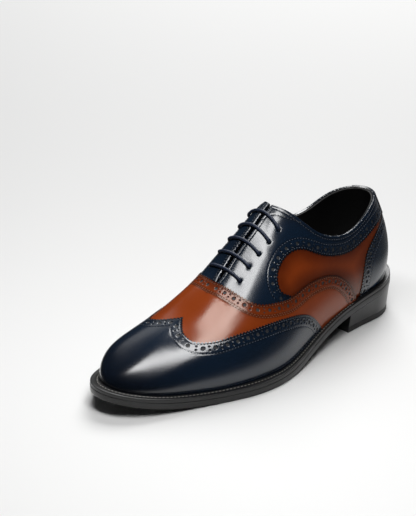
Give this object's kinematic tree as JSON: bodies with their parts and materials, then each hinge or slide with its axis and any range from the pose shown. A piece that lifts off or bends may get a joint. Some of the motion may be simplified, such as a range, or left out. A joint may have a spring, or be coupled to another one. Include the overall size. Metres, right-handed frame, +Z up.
{
  "type": "brogue shoe",
  "caption": "Lace-up leather dress shoe with a winged toe cap, broguing, a welted sole and a stacked heel; hollow and open at the collar.",
  "frame": {"origin": "on the floor under the middle of the shoe's bounding box", "axes": "+X along the shoe to the toe, +Y to the outer side, +Z up"},
  "size_m": [0.3, 0.1079, 0.1168],
  "materials": {
    "sole_leather": "black edge dressing, satin",
    "heel_rubber": "black, matt",
    "lining_leather": "black, soft matt",
    "brown_leather": "cognac brown, burnished and polished",
    "navy_leather": "dark navy, polished",
    "lace_cord": "thin round waxed cord"
  },
  "bodies": {
    "root": {"outsole": "sole_leather", "heel_stack": "sole_leather", "welt": "sole_leather", "heel_top_piece": "heel_rubber", "insole": "lining_leather", "tongue": "lining_leather", "upper": "brown_leather", "vamp": "brown_leather", "wing_cap": "navy_leather", "facing_outer": "navy_leather", "facing_inner": "navy_leather", "counter": "navy_leather", "back_strip": "navy_leather", "lace": "lace_cord"}
  },
  "joints": []
}
